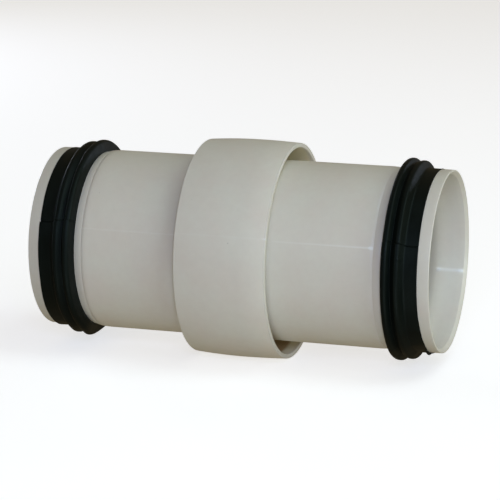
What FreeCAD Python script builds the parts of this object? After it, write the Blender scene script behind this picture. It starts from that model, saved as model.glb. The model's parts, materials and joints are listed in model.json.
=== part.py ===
"""Push fit coupling: a moulded plastic double spigot with a hooded collar and a rubber seal at each end.

The axis of the coupling is X, its middle is the origin, and +Z is up as it lies on its side.
A pipe slides over each spigot, and its end goes into the open ring under the collar, up to the web.
"""
import FreeCAD, Part
import Sketcher
import os
import re

# Driving dimensions in millimetres: alias, value, what it is. Lengths along X count from the middle.
DIMENSIONS = (
    ("half_length", 114.1, "face of either rim"),
    ("spigot_radius", 50.5, "outside of the tube that goes into the pipe"),
    ("bore_radius", 48.0, "waterway through the whole coupling"),
    ("rim_width", 6.5, "plain land between the seal and the mouth"),
    ("rim_rounding", 0.4, "outer edge of the mouth"),
    ("lead_in_length", 1.8, "lead-in cone of the mouth, along the bore"),
    ("lead_in_depth", 1.6, "lead-in cone of the mouth, into the wall"),
    ("shoulder_at", 83.1, "line where the spigot starts to taper"),
    ("taper_length", 4.0, "taper from the shoulder down to the seal seat"),
    ("seat_depth", 1.2, "seal seat below the spigot's surface"),
    ("collar_half_width", 26.0, "either edge of the collar"),
    ("collar_edge_radius", 60.0, "outside of the collar at its edges"),
    ("collar_crown", 1.2, "rise of the collar at mid width"),
    ("collar_mouth_radius", 57.9, "inside of the collar at its edges"),
    ("collar_root_radius", 57.5, "inside of the collar at the web"),
    ("collar_rounding", 0.5, "edges of the collar"),
    ("web_thickness", 3.0, "web that joins the collar to the tube"),
    ("web_rounding", 1.0, "roots of the web"),
    ("foot_at", 87.3, "collar side of the seal's foot"),
    ("lip_front_at", 88.9, "collar side corner of the big lip"),
    ("lip_back_at", 91.6, "mouth side corner of the big lip"),
    ("lip_radius", 56.1, "crest of the big lip, before it is squeezed"),
    ("lip_front_rounding", 2.0, "collar side of the big lip's crest"),
    ("lip_back_rounding", 1.0, "mouth side of the big lip's crest"),
    ("valley_at", 93.3, "bottom of the furrow between lip and rib"),
    ("valley_radius", 52.9, "bottom of the furrow between lip and rib"),
    ("rib_front_at", 96.0, "collar side corner of the rib"),
    ("rib_back_at", 97.9, "mouth side corner of the rib"),
    ("rib_radius", 54.9, "crest of the rib, before it is squeezed"),
    ("rib_rounding", 1.2, "both sides of the rib's crest"),
    ("rib_foot_at", 100.3, "where the rib meets the flat band"),
    ("rib_foot_rounding", 1.0, "where the rib meets the flat band"),
    ("band_proud", 0.25, "flat band of the seal above the spigot's surface"),
)
SIDES = {"left": -1, "right": 1}
EDGE_TOLERANCE = 0.01


def make_sheet(doc):
    """Spreadsheet of the driving dimensions, one alias to a row."""
    sheet = doc.addObject("Spreadsheet::Sheet", "dims")
    for row, (alias, value, meaning) in enumerate(DIMENSIONS, start=1):
        sheet.set(f"A{row}", meaning)
        sheet.set(f"B{row}", str(value))
        sheet.setAlias(f"B{row}", alias)
    doc.recompute()
    return sheet


def origin_feature(body, role):
    """Origin plane or axis of a body, found by its role."""
    for feature in body.Origin.OriginFeatures:
        if feature.Role == role:
            return feature
    raise LookupError(role)


def with_sheet(formula):
    """Formula of aliases as an expression that another object can use: every word in it is an alias."""
    return re.sub(r"([a-z]\w*)", r"dims.\1", formula)


def bind(sketch, kind, geometry, value, formula, name):
    """Constraint from the origin, or on a radius, that follows a formula of aliases."""
    if kind == "Radius":
        constraint = Sketcher.Constraint(kind, geometry, value)
    else:
        constraint = Sketcher.Constraint(kind, -1, 1, geometry, 1, value)
    index = sketch.addConstraint(constraint)
    sketch.renameConstraint(index, name)
    sketch.setExpression(f"Constraints.{name}", with_sheet(formula))


def outline(body, sheet, name, corners, crown=None):
    """Closed sketch through corners, each a pair of formulas: place along X, and radius.

    With a crown, the last side is an arc with that formula's radius, and the corners run anticlockwise.
    """
    sketch = body.newObject("Sketcher::SketchObject", name)
    sketch.AttachmentSupport = [(origin_feature(body, "XZ_Plane"), "")]
    sketch.MapMode = "FlatFace"
    places = [(sheet.evalExpression(along), sheet.evalExpression(radius)) for along, radius in corners]
    points = [FreeCAD.Vector(along, radius, 0) for along, radius in places]
    last = len(points) - 1
    for side, start in enumerate(points):
        end = points[(side + 1) % len(points)]
        if crown and side == last:
            arc_radius = sheet.evalExpression(crown)
            half_chord = (end - start).Length / 2
            rise = arc_radius - (arc_radius**2 - half_chord**2) ** 0.5
            middle = (start + end) / 2 + FreeCAD.Vector(0, rise, 0)
            sketch.addGeometry(Part.Arc(start, middle, end))
        else:
            sketch.addGeometry(Part.LineSegment(start, end))
    for side in range(len(points)):
        sketch.addConstraint(Sketcher.Constraint("Coincident", side, 2, (side + 1) % len(points), 1))
    for side, (along, radius) in enumerate(corners):
        bind(sketch, "DistanceX", side, points[side].x, along, f"along_{side}")
        bind(sketch, "DistanceY", side, points[side].y, radius, f"radius_{side}")
    if crown:
        bind(sketch, "Radius", last, sheet.evalExpression(crown), crown, "crown")
    return sketch


def turned(body, kind, name, sketch):
    """Full turn of a sketch about X, as a PartDesign Revolution or Groove."""
    feature = body.newObject(f"PartDesign::{kind}", name)
    feature.Profile = sketch
    feature.ReferenceAxis = (origin_feature(body, "X_Axis"), [""])
    feature.Angle = 360
    body.Document.recompute()
    return feature


def ring_edges(shape, sheet, rings):
    """Names of the circular edges about X that lie at each ring's place and radius."""
    wanted = [(sheet.evalExpression(along), sheet.evalExpression(radius)) for along, radius in rings]
    names = []
    for number, edge in enumerate(shape.Edges, start=1):
        if not isinstance(edge.Curve, Part.Circle):
            continue
        for along, radius in wanted:
            near = abs(edge.Curve.Center.x - along) < EDGE_TOLERANCE
            if near and abs(edge.Curve.Radius - radius) < EDGE_TOLERANCE:
                names.append(f"Edge{number}")
    if len(names) < len(wanted):
        raise RuntimeError(f"found {len(names)} edges of {len(wanted)} rings: {rings}")
    return names


def rounded(body, sheet, name, rings, radius):
    """Fillet of the ring edges at those places, with the radius of an alias."""
    base = body.Tip
    feature = body.newObject("PartDesign::Fillet", name)
    feature.Base = (base, ring_edges(base.Shape, sheet, rings))
    feature.setExpression("Radius", with_sheet(radius))
    body.Document.recompute()
    return feature


def both_ends(along, radius):
    """The same ring at both ends of the coupling."""
    return [(along, radius), (f"-({along})", radius)]


def coupling_body(doc, sheet):
    """The one moulding: tube, web and hooded collar, with a seal seat behind each rim."""
    body = doc.addObject("PartDesign::Body", "coupling_body")

    tube = outline(body, sheet, "tube_profile", [
        ("-half_length", "bore_radius + lead_in_depth"),
        ("lead_in_length - half_length", "bore_radius"),
        ("half_length - lead_in_length", "bore_radius"),
        ("half_length", "bore_radius + lead_in_depth"),
        ("half_length", "spigot_radius"),
        ("-half_length", "spigot_radius"),
    ])
    turned(body, "Revolution", "tube", tube)

    web_half = "web_thickness / 2"
    web = outline(body, sheet, "web_profile", [
        (f"-{web_half}", "(bore_radius + spigot_radius) / 2"),
        (web_half, "(bore_radius + spigot_radius) / 2"),
        (web_half, "(collar_root_radius + collar_edge_radius) / 2"),
        (f"-{web_half}", "(collar_root_radius + collar_edge_radius) / 2"),
    ])
    turned(body, "Revolution", "web", web)

    crown_radius = "(collar_half_width ^ 2 + collar_crown ^ 2) / (2 * collar_crown)"
    collar = outline(body, sheet, "collar_profile", [
        ("-collar_half_width", "collar_edge_radius"),
        ("-collar_half_width", "collar_mouth_radius"),
        (f"-{web_half}", "collar_root_radius"),
        (web_half, "collar_root_radius"),
        ("collar_half_width", "collar_mouth_radius"),
        ("collar_half_width", "collar_edge_radius"),
    ], crown=crown_radius)
    turned(body, "Revolution", "collar", collar)

    floor = "spigot_radius - seat_depth"
    above = "spigot_radius + seat_depth"
    seat = outline(body, sheet, "seal_seat_profile", [
        ("shoulder_at", "spigot_radius"),
        ("shoulder_at + taper_length", floor),
        ("half_length - rim_width", floor),
        ("half_length - rim_width", above),
        ("shoulder_at", above),
    ])
    seat_groove = turned(body, "Groove", "seal_seat", seat)
    both_seats = body.newObject("PartDesign::Mirrored", "both_seal_seats")
    both_seats.Originals = [seat_groove]
    both_seats.MirrorPlane = (origin_feature(body, "YZ_Plane"), [""])
    body.Tip = both_seats
    doc.recompute()

    web_roots = both_ends(web_half, "spigot_radius") + both_ends(web_half, "collar_root_radius")
    rounded(body, sheet, "web_roots", web_roots, "web_rounding")
    rounded(body, sheet, "mouth_edges", both_ends("half_length", "spigot_radius"), "rim_rounding")
    collar_edges = both_ends("collar_half_width", "collar_mouth_radius")
    collar_edges += both_ends("collar_half_width", "collar_edge_radius")
    rounded(body, sheet, "collar_edges", collar_edges, "collar_rounding")
    return body


def seal(doc, sheet, side):
    """Rubber ring with a big lip, a smaller rib and a flat band against the rim."""
    body = doc.addObject("PartDesign::Body", f"{side}_seal")

    def at(place):
        return place if SIDES[side] > 0 else f"-({place})"

    foot = "spigot_radius - seat_depth"
    band = "spigot_radius + band_proud"
    profile = outline(body, sheet, f"{side}_seal_profile", [
        (at("foot_at"), foot),
        (at("half_length - rim_width"), foot),
        (at("half_length - rim_width"), band),
        (at("rib_foot_at"), band),
        (at("rib_back_at"), "rib_radius"),
        (at("rib_front_at"), "rib_radius"),
        (at("valley_at"), "valley_radius"),
        (at("lip_back_at"), "lip_radius"),
        (at("lip_front_at"), "lip_radius"),
    ])
    turned(body, "Revolution", f"{side}_seal_ring", profile)

    lip_front = [(at("lip_front_at"), "lip_radius")]
    rounded(body, sheet, f"{side}_lip_front", lip_front, "lip_front_rounding")
    lip_back = [(at("lip_back_at"), "lip_radius")]
    rounded(body, sheet, f"{side}_lip_back", lip_back, "lip_back_rounding")
    rib_crest = [(at("rib_front_at"), "rib_radius"), (at("rib_back_at"), "rib_radius")]
    rounded(body, sheet, f"{side}_rib_crest", rib_crest, "rib_rounding")
    rib_foot = [(at("rib_foot_at"), band)]
    rounded(body, sheet, f"{side}_rib_foot", rib_foot, "rib_foot_rounding")
    return body


def check(doc, parts):
    """Stops before anything is written if a feature failed or a shape is not one valid solid."""
    doc.recompute()
    for item in doc.Objects:
        if "Invalid" in item.State or "Error" in item.State:
            raise RuntimeError(f"{item.Name} is {item.State}")
    for part in parts:
        if part.Shape.isNull() or not part.Shape.isValid() or len(part.Shape.Solids) != 1:
            raise RuntimeError(f"{part.Label} is not one valid solid")


def main():
    doc = FreeCAD.newDocument("push_fit_coupling")
    sheet = make_sheet(doc)
    parts = [coupling_body(doc, sheet)]
    parts += [seal(doc, sheet, side) for side in SIDES]
    check(doc, parts)
    os.makedirs("parts", exist_ok=True)
    for part in parts:
        part.Shape.exportStep(f"parts/{part.Label}.step")
        box = part.Shape.optimalBoundingBox()
        volume = part.Shape.Volume / 1000
        print(f"{part.Label}: {box.XLength:.2f} x {box.YLength:.2f} x {box.ZLength:.2f} mm, {volume:.1f} cm3")


main()
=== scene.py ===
"""Looks of the push fit coupling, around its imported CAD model. Metres, in the CAD's own frame.

The axis of the coupling is X. An angle about it counts from the front, which is -Y, upwards to +Z.
"""

import json
import math

import bpy
import numpy as np
from mathutils import Matrix, Vector


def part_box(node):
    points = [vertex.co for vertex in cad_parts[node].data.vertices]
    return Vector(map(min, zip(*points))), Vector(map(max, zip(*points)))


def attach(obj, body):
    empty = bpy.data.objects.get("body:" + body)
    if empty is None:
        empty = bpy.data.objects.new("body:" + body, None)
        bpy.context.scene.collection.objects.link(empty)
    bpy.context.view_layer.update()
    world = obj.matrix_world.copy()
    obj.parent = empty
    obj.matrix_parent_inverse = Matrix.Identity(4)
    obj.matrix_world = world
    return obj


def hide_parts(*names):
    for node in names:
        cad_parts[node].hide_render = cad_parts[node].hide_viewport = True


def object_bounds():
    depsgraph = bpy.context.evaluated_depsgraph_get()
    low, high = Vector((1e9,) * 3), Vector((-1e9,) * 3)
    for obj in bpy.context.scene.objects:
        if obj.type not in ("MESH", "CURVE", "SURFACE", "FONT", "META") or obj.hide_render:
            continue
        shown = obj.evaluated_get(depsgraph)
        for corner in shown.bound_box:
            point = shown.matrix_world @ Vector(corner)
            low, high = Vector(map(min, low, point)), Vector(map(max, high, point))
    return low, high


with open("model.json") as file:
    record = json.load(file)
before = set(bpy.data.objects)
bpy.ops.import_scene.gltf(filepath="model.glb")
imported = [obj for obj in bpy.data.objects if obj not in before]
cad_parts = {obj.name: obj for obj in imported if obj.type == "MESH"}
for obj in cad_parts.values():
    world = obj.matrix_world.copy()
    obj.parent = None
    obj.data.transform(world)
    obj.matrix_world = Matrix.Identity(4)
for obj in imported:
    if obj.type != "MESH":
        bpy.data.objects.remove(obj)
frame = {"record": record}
cad_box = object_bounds()

MM = 0.001
MOUNTS = {mount["name"]: mount for mount in frame["record"]["mounts"]}


def mount_radius(name):
    """Radius of a round mount, in metres."""
    return MOUNTS[name]["dims"]["r_mm"] * MM


def mount_place(name):
    """Place along X of a mount, in metres."""
    return MOUNTS[name]["pos_m"][0]


# Sizes that the CAD model states or has
HALF_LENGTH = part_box("coupling_body")[1].x
CROWN_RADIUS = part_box("coupling_body")[1].z
BORE_RADIUS = mount_radius("waterway")
SPIGOT_RADIUS = mount_radius("right_spigot")
MOUTH_RADIUS = mount_radius("right_collar_socket")
COLLAR_HALF_WIDTH = mount_place("right_collar_socket")
WEB_HALF = mount_place("right_pipe_stop")
LIP_RADIUS = mount_radius("right_seal_lip")
SEAL_FOOT_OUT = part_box("right_seal")[0].x
SEAL_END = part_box("right_seal")[1].x
BORE_END = MOUNTS["waterway"]["dims"]["length_mm"] * MM / 2

# The rest of the moulding's outline, as in the CAD model, but with the collar less crowned at the right
COLLAR_CROWN = {-1: 1.2 * MM, 1: 0.8 * MM}
COLLAR_ROOT_RADIUS = MOUTH_RADIUS - 0.4 * MM
SEAT_RADIUS = SPIGOT_RADIUS - 1.2 * MM
SHOULDER = 83.1 * MM
TAPER_END = 87.1 * MM
LEAD_IN_DEPTH = 1.6 * MM
RIM_ROUNDING = 0.4 * MM
COLLAR_ROUNDING = 0.5 * MM
WEB_ROUNDING = 1.0 * MM

# A seal's outline, as in the CAD model: flat band, rib, furrow and big lip
BAND_RADIUS = SPIGOT_RADIUS + 0.25 * MM
BAND_INNER_END = 100.3 * MM
BAND_FOOT_ROUNDING = 1.0 * MM
RIB_OUTER = 97.9 * MM
RIB_INNER = 96.0 * MM
RIB_RADIUS = 54.9 * MM
RIB_ROUNDING = 1.2 * MM
FURROW = 93.3 * MM
FURROW_RADIUS = 52.9 * MM
LIP_OUTER = 91.6 * MM
LIP_INNER = 88.9 * MM
LIP_OUTER_ROUNDING = 1.0 * MM
LIP_INNER_ROUNDING = 2.0 * MM

# Finer than the CAD model: each spigot falls off a little before its shoulder, where a fine groove runs
# round, and some corners are softer
FALL_START = 80.2 * MM
FALL_ROUNDING = 30 * MM
FALL_DEPTH = 0.2 * MM
GROOVE_DEPTH = 0.17 * MM
GROOVE_WIDTH = 0.22 * MM
GROOVE_LIP = 0.07 * MM
SEAT_EDGE_ROUNDING = 0.25 * MM
SEAT_FOOT_ROUNDING = 0.8 * MM
LEAD_IN_ROUNDING = 0.2 * MM
BAND_ROUNDING = 0.2 * MM
FURROW_ROUNDING = 0.3 * MM

# The mould's parting line: its flash, and burrs by the right shoulder and at the collar's edges
PARTING_ANGLE = math.radians(17.3)
FLASH_WIDTH = 0.3 * MM
TUBE_FLASH = 0.05 * MM
COLLAR_FLASH = 0.02 * MM
BURR_WIDTH = 0.4 * MM
BURR_OUT = SHOULDER - 1.2 * MM
SHOULDER_BURR = 0.3 * MM
COLLAR_BURR = 0.12 * MM

# How glossy that line is, and how strong its painted highlight: on the tube's left, on its right and more
# so towards the shoulder, on the collar, at the burr, and at two painted glints, on the tube just left of
# the collar and at the collar's right edge
LEFT_GLOSS = 0.12
RIGHT_GLOSS = 0.16
RIGHT_GLOSS_GROWTH = 0.34
COLLAR_GLOSS = 0.06
BURR_GLOSS = 1.8
TUBE_GLINT = 0.7
TUBE_GLINT_PLACE = -COLLAR_HALF_WIDTH - 1.6 * MM
COLLAR_GLINT = 0.9
COLLAR_GLINT_PLACE = COLLAR_HALF_WIDTH - 0.3 * MM
GLINT_WIDTH = 0.9 * MM

# The bead along the bore in each mouth: its places are depths from the rim's face, and its ends are heavier
BEAD_ANGLE = math.radians(18.1)
BEAD_DEPTH = 17.6 * MM
BEAD_ENDS = (3.2 * MM, BEAD_DEPTH - 1.2 * MM)
BEAD_HEIGHT = 0.2 * MM
BEAD_WIDTH = 0.6 * MM
# How glossy the bead is, and how strong its painted highlight, along it and at its ends
BEAD_GLOSS = 0.55
BEAD_END_GLOSS = 0.9
# Depths in millimetres at which the bore has points, close together where the bead changes
BEAD_POINTS = (20, 18.4, 17.8, 17.2, 16.4, 15.6, 14.6, 13.2, 5.2, 4.2, 3.4, 2.8, 2.4)

# Each seal's splice: a crack across it, and a small step of the edges that meet there
SPLICE_ANGLE = math.radians(20.5)
SPLICE_SLANT = math.radians(1)
SPLICE_DEPTH = 0.55 * MM
SPLICE_WIDTH = 0.2 * MM
SPLICE_JOG = {-1: 0.17 * MM, 1: -0.1 * MM}
SPLICE_SETTLE = math.radians(40)

# Flash on a seal's outer edge, which may hang over the rim, and a torn tail of it on the right seal
EDGE_OVERLAP = {-1: 0.35 * MM, 1: 0.0}
EDGE_FLASH = 0.08 * MM
EDGE_RAGGED = 0.06 * MM
TAIL_ANGLE = math.radians(-67)
TAIL_SPREAD = math.radians(3.6)
TAIL_LENGTH = 1.7 * MM

# A pip on the right seal's rib
PIP_ANGLE = math.radians(11.4)
PIP_OUT = 98.5 * MM
PIP_HEIGHT = 0.5 * MM
PIP_WIDTH = 0.45 * MM

# How a seal sits: slightly wavy, sunk at its top, spread and slumped at its bottom, tucked in above that
SLACK = 0.25 * MM
WAVES = 0.06 * MM
SPREAD = {-1: 2.0 * MM, 1: 1.0 * MM}
SLUMP = {-1: 2.7 * MM, 1: 0.5 * MM}
SLUMP_ANGLE = math.radians(-90)
SLUMP_SPREAD = math.radians(14)
TUCK_ANGLE = math.radians(-58)
TUCK_SPREAD = math.radians(9)

# Painted light and shade of the plastic's zones, as pairs of place and tone: below 0 is painted shade, 0
# plain and 1 painted light.
# Places in the bore and the mouth's cone are depths in millimetres from the rim's face, and those on the
# collar are shares of its half width. By each seal the tube has painted shade, more so at the left.
BORE_TONES = ((1.8, 0.3), (6, 0.1), (10, 0.4), (14, 0.9), (17, 0.7), (19.5, -0.5), (22, -1.3))
CONE_TONES = ((0, -0.6), (1.5, -0.4), (2, 0.2))
COLLAR_TONES = ((0.4, 0), (0.97, 0.5), (0.99, -0.7))
SEAT_TONES = {-1: -0.7, 1: -0.2}

# How far into the ring under the collar its colour, a painted shade, goes on changing
RECESS_REACH = 14 * MM

# How far off a surface a point may lie and still be on it, and how far off it is clear of it
ON_SURFACE = 0.2 * MM
CLEAR = 1 * MM

# An edge with a smaller rounding than this is rubbed pale
RUBBED_ROUNDING = 0.7 * MM

# Fineness of the meshes, and where the bore's points start, at either side of the middle
BORE_INNER = 10 * MM
BODY_STEP = 4 * MM
SEAL_STEP = 0.7 * MM
TURN_STEP = math.radians(1.5)
ARC_STEPS = 6
CROWN_SHARES = (0.96, 0.8, 0.6, 0.4, 0.2, 0.05)
SHARP_ANGLE = math.radians(40)


# Outlines

def arc_corner(before, corner, after, rounding):
    """Points of the arc that rounds a corner of an outline, from its first side to its second."""
    into = (before - corner) / np.linalg.norm(before - corner)
    out = (after - corner) / np.linalg.norm(after - corner)
    half = math.acos(float(np.clip(into @ out, -1, 1))) / 2
    reach = rounding / math.tan(half)
    inward = (into + out) / np.linalg.norm(into + out)
    centre = corner + inward * rounding / math.sin(half)
    start = corner + into * reach - centre
    end = corner + out * reach - centre
    turn = math.pi - 2 * half
    shares = [step / ARC_STEPS for step in range(ARC_STEPS + 1)]
    return [
        centre + (math.sin((1 - share) * turn) * start + math.sin(share * turn) * end) / math.sin(turn)
        for share in shares
    ]


def outline_points(corners, step):
    """Closed outline through corners (x, r, rounding): its points, and the rounding that each lies on."""
    points, roundings = [], []
    for number, (x, r, rounding) in enumerate(corners):
        corner = np.array((x, r))
        if rounding:
            before = np.array(corners[number - 1][:2])
            after = np.array(corners[(number + 1) % len(corners)][:2])
            arc = arc_corner(before, corner, after, rounding)
        else:
            arc = [corner]
        points += arc
        roundings += [rounding] * len(arc)
    dense, dense_roundings = [], []
    for number, point in enumerate(points):
        way = points[(number + 1) % len(points)] - point
        pieces = max(1, math.ceil(np.linalg.norm(way) / step - 1e-6))
        dense += [point + way * piece / pieces for piece in range(pieces)]
        dense_roundings += [roundings[number]] + [0.0] * (pieces - 1)
    return np.array(dense), np.array(dense_roundings)


def half_corners(crown):
    """Right half of the moulding's outline: bore, rim, seal seat, spigot, web and collar of some crown."""
    half = [
        (BORE_INNER, BORE_RADIUS, 0),
        *((HALF_LENGTH - depth * MM, BORE_RADIUS, 0) for depth in BEAD_POINTS),
        (BORE_END, BORE_RADIUS, LEAD_IN_ROUNDING),
        (HALF_LENGTH, BORE_RADIUS + LEAD_IN_DEPTH, 0),
        (HALF_LENGTH, SPIGOT_RADIUS, RIM_ROUNDING),
        (SEAL_END, SPIGOT_RADIUS, SEAT_EDGE_ROUNDING),
        (SEAL_END, SEAT_RADIUS, 0),
        (TAPER_END, SEAT_RADIUS, SEAT_FOOT_ROUNDING),
        (SHOULDER + GROOVE_WIDTH, SPIGOT_RADIUS - FALL_DEPTH - GROOVE_LIP, 0),
        (SHOULDER, SPIGOT_RADIUS - FALL_DEPTH - GROOVE_DEPTH, 0),
        (SHOULDER - GROOVE_WIDTH, SPIGOT_RADIUS - FALL_DEPTH, 0),
        (FALL_START, SPIGOT_RADIUS, FALL_ROUNDING),
        (WEB_HALF, SPIGOT_RADIUS, WEB_ROUNDING),
        (WEB_HALF, COLLAR_ROOT_RADIUS, WEB_ROUNDING),
        (COLLAR_HALF_WIDTH, MOUTH_RADIUS, COLLAR_ROUNDING),
        (COLLAR_HALF_WIDTH, CROWN_RADIUS - crown, COLLAR_ROUNDING),
    ]
    crown_arc = (COLLAR_HALF_WIDTH**2 + crown**2) / (2 * crown)
    for share in CROWN_SHARES:
        x = share * COLLAR_HALF_WIDTH
        half.append((x, CROWN_RADIUS - crown_arc + math.sqrt(crown_arc**2 - x**2), 0))
    return half


def body_corners():
    """Outline of the whole moulding, its left half the mirror of the right but for the collar's crown."""
    left = half_corners(COLLAR_CROWN[-1])
    return half_corners(COLLAR_CROWN[1]) + [(-x, r, rounding) for x, r, rounding in reversed(left)]


def seal_corners(side):
    """Outline of a seal: its foot, then band, rib, furrow and lip. The side is 1 at the right, else -1."""
    right = [
        (SEAL_FOOT_OUT, SEAT_RADIUS, 0),
        (SEAL_END, SEAT_RADIUS, 0),
        (SEAL_END, SPIGOT_RADIUS, 0),
        (SEAL_END, BAND_RADIUS, BAND_ROUNDING),
        (BAND_INNER_END, BAND_RADIUS, BAND_FOOT_ROUNDING),
        (RIB_OUTER, RIB_RADIUS, RIB_ROUNDING),
        (RIB_INNER, RIB_RADIUS, RIB_ROUNDING),
        (FURROW, FURROW_RADIUS, FURROW_ROUNDING),
        (LIP_OUTER, LIP_RADIUS, LIP_OUTER_ROUNDING),
        (LIP_INNER, LIP_RADIUS, LIP_INNER_ROUNDING),
    ]
    if side > 0:
        return right
    return [(-x, r, rounding) for x, r, rounding in reversed(right)]


# Meshes

def bump(distance, width):
    """Smooth bump of height 1 where the distance is 0."""
    return np.exp(-0.5 * (distance / width) ** 2)


def step_up(distance, width):
    """Smooth step from 0 to 1 where the distance passes 0."""
    return 1 / (1 + np.exp(-np.clip(distance / width, -30, 30)))


def wander(place, seed):
    """Slow unevenness, between -1 and 1, along a place: three waves, each seed's in a phase of its own."""
    waves = ((1, 0.45), (2.3, 0.3), (4.1, 0.25))
    return sum(share * np.sin(place * rate + seed * (rate + 1.7)) for rate, share in waves)


def angle_gap(angle, spot):
    """Signed difference of two angles, in radians."""
    return (angle - spot + math.pi) % (2 * math.pi) - math.pi


def ring_angles(fine_spots, fine_step, fine_half):
    """Angles of the outline's turns, closer together about each fine spot."""
    angles = np.arange(0, 2 * math.pi - TURN_STEP / 2, TURN_STEP)
    for spot in fine_spots:
        angles = angles[np.abs(angle_gap(angles, spot)) > fine_half + fine_step]
        fine = np.arange(-fine_half, fine_half + fine_step / 2, fine_step) + spot
        angles = np.concatenate((angles, fine % (2 * math.pi)))
    return np.sort(angles)


def ring_mesh(name, outline, angles, lift):
    """Closed piece from an outline turned about X. lift(x, r, turn) gives each point's rise and shift."""
    x, turn = np.meshgrid(outline[:, 0], angles)
    r = np.broadcast_to(outline[:, 1], x.shape)
    rise, shift = lift(x, r, turn)
    x, r = x + shift, r + rise
    points = np.stack((x, -r * np.cos(turn), r * np.sin(turn)), axis=2).reshape(-1, 3)
    rings, count = len(angles), len(outline)
    ring, spot = np.arange(rings)[:, None], np.arange(count)[None, :]
    next_ring, next_spot = (ring + 1) % rings, (spot + 1) % count
    faces = np.stack((
        ring * count + spot,
        next_ring * count + spot,
        next_ring * count + next_spot,
        ring * count + next_spot,
    ), axis=2).reshape(-1, 4)
    mesh = bpy.data.meshes.new(name)
    mesh.from_pydata(points.tolist(), [], faces.tolist())
    mesh.shade_smooth()
    mesh.set_sharp_from_angle(angle=SHARP_ANGLE)
    piece = bpy.data.objects.new(name, mesh)
    bpy.context.scene.collection.objects.link(piece)
    return piece


def store(piece, name, values):
    """Named value at each point of a piece, for its material."""
    attribute = piece.data.attributes.new(name, "FLOAT", "POINT")
    attribute.data.foreach_set("value", np.asarray(values, np.float32).ravel())


def off_parting(turn, angle=PARTING_ANGLE):
    """Signed angle from the nearer of two lines, at an angle and opposite it."""
    front = angle_gap(turn, angle)
    back = angle_gap(turn, angle + math.pi)
    return np.where(np.abs(front) < np.abs(back), front, back)


def body_places(x, r):
    """Masks of the collar's outside, of the tube's outside clear of the collar, and of the bore."""
    on_collar = r > MOUTH_RADIUS + CLEAR
    on_tube = (r > SPIGOT_RADIUS - FALL_DEPTH - 0.01 * MM) & (r < SPIGOT_RADIUS + ON_SURFACE)
    on_tube = on_tube & (np.abs(x) > COLLAR_HALF_WIDTH) & (np.abs(x) < SHOULDER)
    in_bore = r < BORE_RADIUS + ON_SURFACE
    return on_collar, on_tube, in_bore


def bead_reach(depth, start, fade):
    """Mask of the bead's length, which starts at some depth in the mouth."""
    return step_up(BEAD_DEPTH - depth, fade) * step_up(depth - start, 0.1 * MM)


def bead_peaks(depth, width):
    """Bumps at the two ends of the bead."""
    return sum(bump(depth - end, width) for end in BEAD_ENDS)


def body_lift(x, r, turn):
    """Flash and burrs along the parting lines, and the bead in each mouth, which narrows the bore."""
    away = off_parting(turn) * r
    on_collar, on_tube, in_bore = body_places(x, r)
    ridge = (COLLAR_FLASH * on_collar + TUBE_FLASH * on_tube) * bump(away, FLASH_WIDTH)
    shoulder_burr = SHOULDER_BURR * bump(x - BURR_OUT, 0.7 * MM) * on_tube
    collar_burr = COLLAR_BURR * bump(np.abs(x) - COLLAR_HALF_WIDTH, 0.4 * MM) * on_collar
    burrs = (shoulder_burr + collar_burr) * bump(away, BURR_WIDTH)
    depth = HALF_LENGTH - np.abs(x)
    bead = BEAD_HEIGHT * (1 + bead_peaks(depth, 0.8 * MM)) * bead_reach(depth, 2 * MM, 0.3 * MM)
    bead = bead * bump(off_parting(turn, BEAD_ANGLE) * r, BEAD_WIDTH) * in_bore
    return ridge + burrs - bead, np.zeros_like(x)


def parting_gloss_and_highlight(x, r, turn):
    """How glossy the parting lines and the bead are, and how strong their painted highlight: most at the
    burrs and at the bead's ends.
    """
    away = np.abs(off_parting(turn)) * r
    on_collar, on_tube, in_bore = body_places(x, r)
    along = np.clip((x - COLLAR_HALF_WIDTH) / (SHOULDER - COLLAR_HALF_WIDTH), 0, 1)
    burr = bump(x - BURR_OUT, GLINT_WIDTH) * on_tube
    tube = np.where(x > 0, RIGHT_GLOSS + RIGHT_GLOSS_GROWTH * along**2, LEFT_GLOSS)
    tube = tube + TUBE_GLINT * bump(x - TUBE_GLINT_PLACE, GLINT_WIDTH)
    collar = COLLAR_GLOSS + COLLAR_GLINT * bump(x - COLLAR_GLINT_PLACE, 0.5 * MM)
    strength = tube * on_tube + collar * on_collar + BURR_GLOSS * burr
    depth = HALF_LENGTH - np.abs(x)
    bead = BEAD_GLOSS + BEAD_END_GLOSS * bead_peaks(depth, 1.0 * MM)
    bead = bead * bead_reach(depth, 1.8 * MM, 0.4 * MM)
    bead = bead * bump(off_parting(turn, BEAD_ANGLE) * r, 0.7 * MM) * in_bore
    return strength * bump(away, (0.35 + 0.2 * burr) * MM) + bead


def tone_at(place, tones):
    """Tone at a place, between the nearest of the pairs in tones."""
    places, values = zip(*tones)
    return np.interp(place, places, values)


def painted_zone_light(x, r):
    """Painted light and shade of the plastic at each point, by its zone: mouth's cone, bore, collar, or the
    tube by a seal.
    """
    on_collar, _, in_bore = body_places(x, r)
    depth = (HALF_LENGTH - np.abs(x)) / MM
    in_cone = (depth < 1.9) & (r < BORE_RADIUS + LEAD_IN_DEPTH - 0.1 * MM)
    by_seal = np.where(x > 0, SEAT_TONES[1], SEAT_TONES[-1]) * (np.abs(x) > SHOULDER)
    tones = (
        tone_at(depth, CONE_TONES),
        tone_at(depth, BORE_TONES),
        tone_at(x / COLLAR_HALF_WIDTH, COLLAR_TONES),
    )
    return np.select((in_cone, in_bore, on_collar), tones, by_seal)


def recess_depth(x, r):
    """How deep in the ring under the collar each point lies, from 0 at its mouth to 1 well inside."""
    in_ring = (np.abs(x) < COLLAR_HALF_WIDTH) & (r > SPIGOT_RADIUS + CLEAR) & (r < MOUTH_RADIUS + 0.1 * MM)
    return in_ring * np.clip((COLLAR_HALF_WIDTH - np.abs(x)) / RECESS_REACH, 0, 1)


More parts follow.
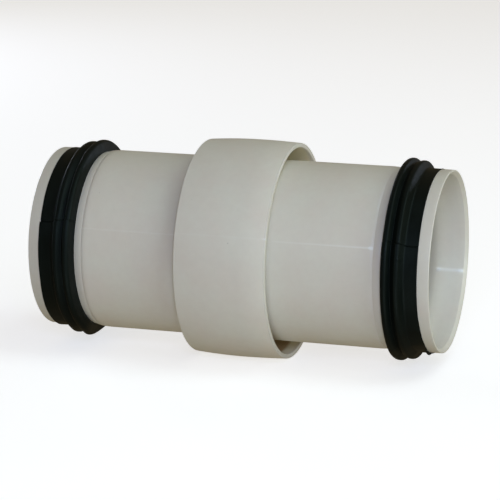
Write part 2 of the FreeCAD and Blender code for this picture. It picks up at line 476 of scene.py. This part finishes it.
def moulded_body():
    """The one plastic moulding."""
    outline, roundings = outline_points(body_corners(), BODY_STEP)
    lines = (PARTING_ANGLE, PARTING_ANGLE + math.pi)
    angles = ring_angles(lines, math.radians(0.22), math.radians(2.4))
    piece = ring_mesh("moulded_body", outline, angles, body_lift)
    x, turn = np.meshgrid(outline[:, 0], angles)
    r = np.broadcast_to(outline[:, 1], x.shape)
    edge = (roundings > 0) & (roundings < RUBBED_ROUNDING)
    store(piece, "edge", np.broadcast_to(edge, x.shape))
    # Gloss of the parting lines and the bead, which is also the strength of their painted highlight
    store(piece, "parting", parting_gloss_and_highlight(x, r, turn))
    # Depth in the ring under the collar, for its painted shade and painted shadow
    store(piece, "recess", recess_depth(x, r))
    # Painted light and shade by zone
    store(piece, "tone", painted_zone_light(x, r))
    return piece


def seal_places(x, r):
    """Where each point of a seal is: how high over the seat, how far out, how free, and if over the rim.

    The first three go from 0 to 1: at the seat or the lip's crest, at the foot or the rim, held or free.
    """
    proud = np.clip((r - SEAT_RADIUS) / (LIP_RADIUS - SEAT_RADIUS), 0, 1)
    sway = (np.abs(x) - SEAL_FOOT_OUT) / (SEAL_END - SEAL_FOOT_OUT)
    over_rim = r > SPIGOT_RADIUS + 0.02 * MM
    free = np.where(sway > 0.98, over_rim, np.clip(proud / 0.2, 0, 1))
    return proud, sway, free, over_rim


def splice(r, turn, proud, sway, side):
    """Crack of a seal's splice, and the shift of the edges that meet there. It runs as a slanted S."""
    line = SPLICE_ANGLE + SPLICE_SLANT * (0.6 - sway + 0.35 * np.sin(2 * math.pi * sway))
    away = angle_gap(turn, line)
    crack = -SPLICE_DEPTH * bump(away * r, SPLICE_WIDTH) * step_up(proud - 0.1, 0.02)
    crack = crack * (0.25 + 0.75 * step_up(sway - 0.4, 0.06))
    jog = SPLICE_JOG[side] * np.sign(-away) * np.exp(-np.abs(away) / SPLICE_SETTLE)
    return crack, jog


def edge_flash(x, turn, over_rim, side):
    """Rise and outward shift of the flash on a seal's outer edge, with the right seal's torn tail."""
    out = np.abs(x)
    at_edge = step_up(out - (SEAL_END - 0.7 * MM), 0.12 * MM) * over_rim
    flash = EDGE_FLASH * (1 + wander(turn * 5, 4.0 + side)) * at_edge
    if side > 0:
        near_edge = step_up(out - (SEAL_END - 1.5 * MM), 0.25 * MM) * over_rim
        flash = flash + TAIL_LENGTH * near_edge * bump(angle_gap(turn, TAIL_ANGLE), TAIL_SPREAD)
    ragged = EDGE_RAGGED * wander(turn * 9, 6.0 + side)
    return flash, (EDGE_OVERLAP[side] + ragged) * at_edge


def pip(x, r, turn):
    """Small round pip on the right seal's rib."""
    along = np.abs(x) - PIP_OUT
    around = angle_gap(turn, PIP_ANGLE) * r
    on_rib = r > SPIGOT_RADIUS + 0.5 * MM
    return PIP_HEIGHT * bump(along, PIP_WIDTH) * bump(around, PIP_WIDTH) * on_rib


def sag(turn, sway, free, side):
    """Rise and outward shift of a seal where it spreads and slumps at its bottom and is tucked in above."""
    down = np.clip((-np.sin(turn) - 0.15) / 0.85, 0, 1)
    spread = SPREAD[side] * down**2 * (3 - 2 * down) * (sway - 0.1)
    bottom = bump(angle_gap(turn, SLUMP_ANGLE), SLUMP_SPREAD)
    above = bump(angle_gap(turn, TUCK_ANGLE), TUCK_SPREAD)
    slump = SLUMP[side] * (bottom * (1 - 0.6 * sway) - 0.5 * above * (1 - sway))
    hang = 0.4 * SLUMP[side] * bottom * step_up(sway - 0.7, 0.05)
    return hang * free, (spread + slump) * free


def seal_lift(side):
    """Lift for one side's seal: its splice, edge flash, sag and slack, and the right one's pip."""
    def lift(x, r, turn):
        proud, sway, free, over_rim = seal_places(x, r)
        crack, jog = splice(r, turn, proud, sway, side)
        flash, overhang = edge_flash(x, turn, over_rim, side)
        hang, slump = sag(turn, sway, free, side)
        slack = (WAVES * wander(turn * 3, 2.0 + side) - SLACK * np.maximum(0, np.sin(turn))**2) * proud
        rise = crack + flash + hang + slack
        if side > 0:
            rise = rise + pip(x, r, turn)
        return rise, side * (jog * free + slump + overhang)
    return lift


def seal_piece(name, side):
    """One rubber seal, at the right where the side is 1 and at the left where it is -1."""
    outline, _ = outline_points(seal_corners(side), SEAL_STEP)
    angles = ring_angles((SPLICE_ANGLE, PIP_ANGLE), math.radians(0.2), math.radians(2.2))
    piece = ring_mesh(name, outline, angles, seal_lift(side))
    height = (outline[:, 1] - SEAT_RADIUS) / (LIP_RADIUS - SEAT_RADIUS)
    store(piece, "proud", np.broadcast_to(height, (len(angles), len(outline))))
    return piece


# Materials

PLASTIC_COLOURS = ((0.742, 0.690, 0.602), (0.750, 0.725, 0.630))
GRAIN_COLOUR = (0.65, 0.61, 0.52)
# Warmer colour painted into the ring under the collar as its shade
RECESS_SHADE_COLOUR = (0.84, 0.78, 0.58)
# Brown painted shadow deep in the ring under the collar, towards its bottom
PAINTED_SHADOW_COLOUR = (0.46, 0.32, 0.16)
SPECK_COLOUR = (0.20, 0.19, 0.16)
# Pale of rubbed edges, which is wear, and of the painted highlight along the parting lines, burrs and bead
WEAR_AND_HIGHLIGHT_COLOUR = (0.95, 0.95, 0.92)
RUBBER_COLOUR = (0.0012, 0.0027, 0.0023)
DUST_COLOUR = (0.005, 0.0078, 0.0065)


def new_material(name):
    """New material: itself, and its nodes and links."""
    material = bpy.data.materials.new(name)
    material.use_nodes = True
    return material, material.node_tree.nodes, material.node_tree.links


def add_node(nodes, kind, **settings):
    """New shader node. The setting called inputs gives values of its sockets, by their names."""
    made = nodes.new(kind)
    for key, value in settings.pop("inputs", {}).items():
        made.inputs[key].default_value = value
    for key, value in settings.items():
        setattr(made, key, value)
    return made


def stored(nodes, name):
    """Value that store() left at each point of a piece."""
    return add_node(nodes, "ShaderNodeAttribute", attribute_name=name).outputs["Fac"]


def split(nodes, links, vector):
    """The X, Y and Z of a vector."""
    made = add_node(nodes, "ShaderNodeSeparateXYZ")
    links.new(vector, made.inputs["Vector"])
    return made.outputs


def noise(nodes, links, vector, scale, detail=4.0):
    """Noise with a number of features to the vector's unit."""
    inputs = {"Scale": scale, "Detail": detail, "Roughness": 0.55}
    made = add_node(nodes, "ShaderNodeTexNoise", inputs=inputs)
    links.new(vector, made.inputs["Vector"])
    return made.outputs["Fac"]


def math_node(nodes, links, operation, first, second, clamp=False):
    """Sum, product or other operation on two sockets, or on a socket and a number."""
    made = add_node(nodes, "ShaderNodeMath", operation=operation, use_clamp=clamp)
    for socket, value in zip(made.inputs, (first, second)):
        if isinstance(value, (int, float)):
            socket.default_value = value
        else:
            links.new(value, socket)
    return made.outputs["Value"]


def ramp(nodes, links, value, low, high, to_low=0.0, to_high=1.0):
    """Value mapped from one range to another, and held at the ends."""
    made = add_node(nodes, "ShaderNodeMapRange", clamp=True,
                    inputs={"From Min": low, "From Max": high, "To Min": to_low, "To Max": to_high})
    links.new(value, made.inputs["Value"])
    return made.outputs["Result"]


def mixed(nodes, links, share, first, second):
    """Colour between two, by a share."""
    made = add_node(nodes, "ShaderNodeMix", data_type="RGBA")
    links.new(share, made.inputs["Factor"])
    for socket, value in ((made.inputs[6], first), (made.inputs[7], second)):
        if isinstance(value, tuple):
            socket.default_value = (*value, 1)
        else:
            links.new(value, socket)
    return made.outputs[2]


def roughen(nodes, links, height, strength, distance):
    """Fine relief of a material's surface, from a height."""
    made = add_node(nodes, "ShaderNodeBump", inputs={"Strength": strength, "Distance": distance})
    links.new(height, made.inputs["Height"])
    links.new(made.outputs["Normal"], nodes["Principled BSDF"].inputs["Normal"])


def specks(nodes, links, place):
    """How dark each point is from small scattered specks, at most one to a cell."""
    cells = add_node(nodes, "ShaderNodeTexVoronoi", inputs={"Scale": 85.0})
    links.new(place, cells.inputs["Vector"])
    spot = ramp(nodes, links, cells.outputs["Distance"], 0.02, 0.05, 1, 0)
    draw = add_node(nodes, "ShaderNodeSeparateColor")
    links.new(cells.outputs["Color"], draw.inputs["Color"])
    chosen = ramp(nodes, links, draw.outputs["Red"], 0.4, 0.42)
    darkness = ramp(nodes, links, draw.outputs["Green"], 0.3, 1, 0.15, 0.7)
    return math_node(nodes, links, "MULTIPLY", math_node(nodes, links, "MULTIPLY", spot, chosen), darkness)


def plastic():
    """Satin off-white moulded plastic: mottled, with specks and rubbed edges, a glossy parting line with a
    painted highlight, painted shade and a painted shadow in the ring under the collar, and painted light
    and shade by zone.
    """
    material, nodes, links = new_material("offwhite_plastic")
    shader = nodes["Principled BSDF"]
    place = add_node(nodes, "ShaderNodeTexCoord").outputs["Object"]

    cloud = ramp(nodes, links, noise(nodes, links, place, 45), 0.35, 0.65)
    colour = mixed(nodes, links, cloud, *PLASTIC_COLOURS)
    grain = ramp(nodes, links, noise(nodes, links, place, 260, detail=6), 0.3, 0.8, 0, 0.25)
    colour = mixed(nodes, links, grain, colour, GRAIN_COLOUR)

    # Painted shade in the ring under the collar: the colour turns warmer from its mouth inwards
    recess = stored(nodes, "recess")
    colour = mixed(nodes, links, ramp(nodes, links, recess, 0, 0.2), colour, RECESS_SHADE_COLOUR)
    # Painted shadow: deep in the ring and towards its bottom, the colour turns dark brown
    low = ramp(nodes, links, split(nodes, links, place)["Z"], -15 * MM, -50 * MM)
    painted_shadow = math_node(nodes, links, "MULTIPLY", ramp(nodes, links, recess, 0.38, 0.52), low)
    colour = mixed(nodes, links, painted_shadow, colour, PAINTED_SHADOW_COLOUR)
    colour = mixed(nodes, links, specks(nodes, links, place), colour, SPECK_COLOUR)

    # Pale: wear on rubbed edges, and a painted highlight along the parting lines, at the burrs and glints,
    # and along the bead
    parting = stored(nodes, "parting")
    rubbed = math_node(nodes, links, "MULTIPLY", stored(nodes, "edge"), 0.04)
    pale = math_node(nodes, links, "MAXIMUM", rubbed, parting, clamp=True)
    colour = mixed(nodes, links, pale, colour, WEAR_AND_HIGHLIGHT_COLOUR)
    # Painted light and shade by zone, as the colour's brightness
    toned = add_node(nodes, "ShaderNodeHueSaturation")
    links.new(ramp(nodes, links, stored(nodes, "tone"), -2, 1, 0.6, 1.2), toned.inputs["Value"])
    links.new(colour, toned.inputs["Color"])
    links.new(toned.outputs["Color"], shader.inputs["Base Color"])

    smear = ramp(nodes, links, noise(nodes, links, place, 60, detail=5), 0.3, 0.7, 0.34, 0.46)
    burnish = math_node(nodes, links, "MULTIPLY", parting, 0.3)
    rough = math_node(nodes, links, "MAXIMUM", math_node(nodes, links, "SUBTRACT", smear, burnish), 0.1)
    links.new(rough, shader.inputs["Roughness"])

    roughen(nodes, links, noise(nodes, links, place, 700, detail=3), 0.35, 0.03 * MM)
    shader.inputs["IOR"].default_value = 1.5
    shader.inputs["Subsurface Weight"].default_value = 0.1
    shader.inputs["Subsurface Radius"].default_value = (1.0, 0.85, 0.65)
    shader.inputs["Subsurface Scale"].default_value = 3 * MM
    return material


def rubber():
    """Black extruded rubber: dull, with fine lines round the ring, and dust in its furrows."""
    material, nodes, links = new_material("black_rubber")
    shader = nodes["Principled BSDF"]
    place = add_node(nodes, "ShaderNodeTexCoord").outputs["Object"]
    proud = stored(nodes, "proud")

    cloud = noise(nodes, links, place, 90, detail=6)
    hollow = ramp(nodes, links, proud, 0.9, 0.2, 0, 0.5)
    dust = math_node(nodes, links, "MULTIPLY", ramp(nodes, links, cloud, 0.45, 0.8), hollow)
    colour = mixed(nodes, links, dust, RUBBER_COLOUR, DUST_COLOUR)
    links.new(colour, shader.inputs["Base Color"])
    links.new(ramp(nodes, links, cloud, 0.3, 0.75, 0.42, 0.62), shader.inputs["Roughness"])

    lines = add_node(nodes, "ShaderNodeCombineXYZ")
    across = split(nodes, links, place)["X"]
    links.new(math_node(nodes, links, "MULTIPLY", across, 1500.0), lines.inputs["X"])
    links.new(math_node(nodes, links, "MULTIPLY", proud, 8.0), lines.inputs["Y"])
    streak = noise(nodes, links, lines.outputs["Vector"], 1.0, detail=2)
    grit = math_node(nodes, links, "MULTIPLY", noise(nodes, links, place, 1100, detail=3), 0.5)
    roughen(nodes, links, math_node(nodes, links, "ADD", streak, grit), 0.5, 0.06 * MM)
    shader.inputs["IOR"].default_value = 1.5
    shader.inputs["Specular IOR Level"].default_value = 0.16
    shader.inputs["Specular Tint"].default_value = (0.8, 1.0, 0.93, 1)
    return material


def floor_material():
    """Plain pale floor, lit a little from within so that it stays near white."""
    material, nodes, _ = new_material("pale_floor")
    shader = nodes["Principled BSDF"]
    shader.inputs["Base Color"].default_value = (0.66, 0.66, 0.67, 1)
    shader.inputs["Emission Color"].default_value = (1, 1, 1, 1)
    shader.inputs["Emission Strength"].default_value = 0.62
    shader.inputs["Roughness"].default_value = 0.9
    shader.inputs["Specular IOR Level"].default_value = 0.1
    return material


# Object

body_material = plastic()
seal_material = rubber()

body = moulded_body()
body.data.materials.append(body_material)
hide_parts("coupling_body")
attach(body, "root")

for seal_name, seal_side in (("left_seal", -1), ("right_seal", 1)):
    ring = seal_piece(seal_name.replace("seal", "lip_seal"), seal_side)
    ring.data.materials.append(seal_material)
    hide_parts(seal_name)
    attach(ring, "root")


# Stage

def towards(azimuth, elevation):
    """Unit vector from the origin towards a direction, in degrees: azimuth 0 is the front, 90 is +X."""
    turn, rise = math.radians(azimuth), math.radians(elevation)
    return Vector((math.sin(turn) * math.cos(rise), -math.cos(turn) * math.cos(rise), math.sin(rise)))


def aim(thing, place, target, roll=0.0):
    """Puts a camera or a light at a place and points it at a target."""
    back = (place - target).normalized()
    right = Vector((0, 0, 1)).cross(back).normalized()
    up = back.cross(right)
    turned_right = right * math.cos(roll) + up * math.sin(roll)
    turned_up = up * math.cos(roll) - right * math.sin(roll)
    axes = Matrix((turned_right, turned_up, back)).transposed().to_4x4()
    thing.matrix_world = Matrix.Translation(place) @ axes


CAMERA_DISTANCE = 1.40
CAMERA_AZIMUTH = 17.11
CAMERA_ELEVATION = 12.07
CAMERA_ROLL = math.radians(0.335)
CAMERA_LENS = 179.3
TARGET_RIGHT = -0.45 * MM
TARGET_UP = -1.27 * MM

camera_data = bpy.data.cameras.new("camera")
camera_data.lens = CAMERA_LENS
camera_data.sensor_width = 36
camera_data.clip_end = 50
camera = bpy.data.objects.new("camera", camera_data)
bpy.context.scene.collection.objects.link(camera)
camera_back = towards(CAMERA_AZIMUTH, CAMERA_ELEVATION)
camera_right = Vector((0, 0, 1)).cross(camera_back).normalized()
camera_target = TARGET_RIGHT * camera_right + TARGET_UP * camera_back.cross(camera_right)
aim(camera, camera_target + camera_back * CAMERA_DISTANCE, camera_target, CAMERA_ROLL)
bpy.context.scene.camera = camera

FLOOR_HALF = 12.0

floor_data = bpy.data.meshes.new("floor")
signs = ((-1, -1), (1, -1), (1, 1), (-1, 1))
floor_corners = [(x * FLOOR_HALF, y * FLOOR_HALF, cad_box[0].z) for x, y in signs]
floor_data.from_pydata(floor_corners, [], [(0, 1, 2, 3)])
floor = bpy.data.objects.new("floor", floor_data)
bpy.context.scene.collection.objects.link(floor)
floor.data.materials.append(floor_material())
# It takes the coupling's shadow, but doesn't light it or show in its gloss
floor.visible_diffuse = False
floor.visible_glossy = False
floor.visible_shadow = False

# The lights face the coupling. Their directions are degrees of azimuth and elevation, and the largest part
# of a light's colour is its strength.
LIGHT_DISTANCE = 1.7
WIDE_LIGHT = 0.95
NARROW_LIGHT = 0.4
LIGHT_POWER = 11.3


def soft_light(name, azimuth, elevation, colour, size=WIDE_LIGHT):
    """Square area light that faces the coupling, with its strength in its colour."""
    data = bpy.data.lights.new(name, "AREA")
    data.energy = LIGHT_POWER * max(colour)
    data.size = size
    data.color = [part / max(colour) for part in colour]
    light = bpy.data.objects.new(name, data)
    bpy.context.scene.collection.objects.link(light)
    aim(light, towards(azimuth, elevation) * LIGHT_DISTANCE, Vector((0, 0, 0)))


soft_light("camera_side_light", 17, 22, (0.42, 0.50, 0.74), size=NARROW_LIGHT)
soft_light("right_low_light", 60, 15, (0.44, 0.55, 0.65))
soft_light("right_narrow_light", 75, 12, (0.17, 0.15, 0.13), size=NARROW_LIGHT)
soft_light("right_light", 80, 30, (0.18, 0.21, 0.12))
soft_light("high_light", 80, 60, (0.44, 0.53, 0.57))
soft_light("left_light", -100, 16, (0.20, 0.28, 0.36))
soft_light("low_light", 17, -35, (0.50, 0.55, 0.57))
soft_light("low_right_light", 75, -30, (0.10, 0.13, 0.12))
soft_light("back_right_light", 138, 9, (0.26, 0.29, 0.37), size=NARROW_LIGHT)
soft_light("back_left_light", 232, 9, (0.42, 0.46, 0.56), size=NARROW_LIGHT)

world = bpy.data.worlds.new("studio")
world.use_nodes = True
world.node_tree.nodes["Background"].inputs["Color"].default_value = (0.18, 0.14, 0.08, 1)
world.node_tree.nodes["Background"].inputs["Strength"].default_value = 1.0
bpy.context.scene.world = world
bpy.context.scene.view_settings.view_transform = "Standard"
